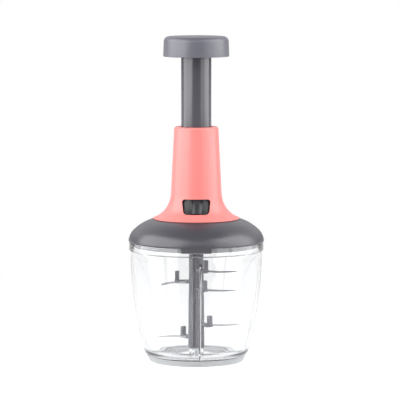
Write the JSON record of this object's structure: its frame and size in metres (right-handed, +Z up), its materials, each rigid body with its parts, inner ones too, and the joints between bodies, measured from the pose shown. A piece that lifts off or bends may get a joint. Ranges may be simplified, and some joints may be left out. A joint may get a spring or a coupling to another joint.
{
  "type": "plunger food chopper",
  "caption": "Hand-press food chopper: mushroom knob and tube over a flared neck and domed lid, lock slider, clear vaned bowl, stacked sickle blades turned by a spiral drive.",
  "frame": {"origin": "centre of the underside of the ring that the bowl stands on", "axes": "+Z up along the plunger, -Y towards the lock slider at the front, +X to the right seen from the front"},
  "size_m": [0.135, 0.135, 0.3235],
  "materials": {
    "clear_bowl": "gloss",
    "slate_plastic": "satin",
    "coral_plastic": "satin",
    "dark_plastic": "matte",
    "inner_plastic": "matte",
    "acetal": "matte",
    "steel": "brushed",
    "spring_steel": "satin",
    "soft_ring": "matte",
    "seal_rubber": "matte"
  },
  "bodies": {
    "bowl": {"bowl": "clear_bowl", "base_grip_ring": "soft_ring", "blade_pivot_pin": "steel"},
    "lid": {"lid_dome": "slate_plastic", "lid_seal": "seal_rubber", "drive_cover": "inner_plastic", "cover_screws": "steel", "housing_screws": "steel", "neck_housing": "coral_plastic", "neck_screws": "steel", "plunger_guide_ring": "acetal", "drive_housing": "inner_plastic", "return_spring": "spring_steel", "hub_bush": "acetal"},
    "lock": {"lock_ring": "dark_plastic", "lock_slider": "dark_plastic"},
    "plunger": {"plunger_tube": "slate_plastic", "drive_nut": "acetal", "plunger_knob": "slate_plastic", "knob_base": "slate_plastic", "knob_screw": "steel"},
    "spiral": {"spiral_rod": "steel", "spiral_foot": "acetal", "clutch_spring": "spring_steel"},
    "clutch": {"clutch_ring": "acetal"},
    "hub": {"output_hub": "dark_plastic", "thrust_washer": "steel", "hub_retaining_clip": "spring_steel"},
    "blade_unit": {"blade_shaft_lower": "dark_plastic", "blade_shaft_upper": "dark_plastic", "shaft_bush": "acetal", "blade_top": "steel", "blade_upper": "steel", "blade_middle": "steel", "blade_lower": "steel", "blade_bottom": "steel"}
  },
  "joints": [
    {"name": "lid_lift", "type": "slide", "parent": "bowl", "child": "lid", "axis": [0, 0, 1], "range_m": [0, 0.15]},
    {"name": "plunger_press", "type": "slide", "parent": "lid", "child": "plunger", "axis": [0, 0, -1], "range_m": [0, 0.066], "stiffness_N_per_m": 180, "springref_m": -0.0167, "deforming": ["return_spring"]},
    {"name": "lock_turn", "type": "hinge", "parent": "lid", "child": "lock", "pos_m": [0, 0, 0.152], "axis": [0, 0, -1], "range_deg": [0, 12]},
    {"name": "spiral_spin", "type": "hinge", "parent": "lid", "child": "spiral", "pos_m": [0, 0, 0.13], "axis": [0, 0, 1], "range_deg": [-800, 0]},
    {"name": "clutch_lift", "type": "slide", "parent": "spiral", "child": "clutch", "axis": [0, 0, 1], "range_m": [0, 0.0015], "stiffness_N_per_m": 400, "springref_m": -0.001, "deforming": ["clutch_spring"]},
    {"name": "hub_spin", "type": "hinge", "parent": "lid", "child": "hub", "pos_m": [0, 0, 0.11], "axis": [0, 0, 1], "range_deg": [-800, 0]},
    {"name": "blade_spin", "type": "hinge", "parent": "bowl", "child": "blade_unit", "pos_m": [0, 0, 0.02], "axis": [0, 0, 1], "range_deg": [-800, 0]}
  ],
  "couplings": [
    {"joint": "spiral_spin", "follows": "plunger_press", "rad_per_m": -209.44},
    {"joint": "hub_spin", "follows": "plunger_press", "rad_per_m": -209.44},
    {"joint": "blade_spin", "follows": "plunger_press", "rad_per_m": -209.44}
  ]
}
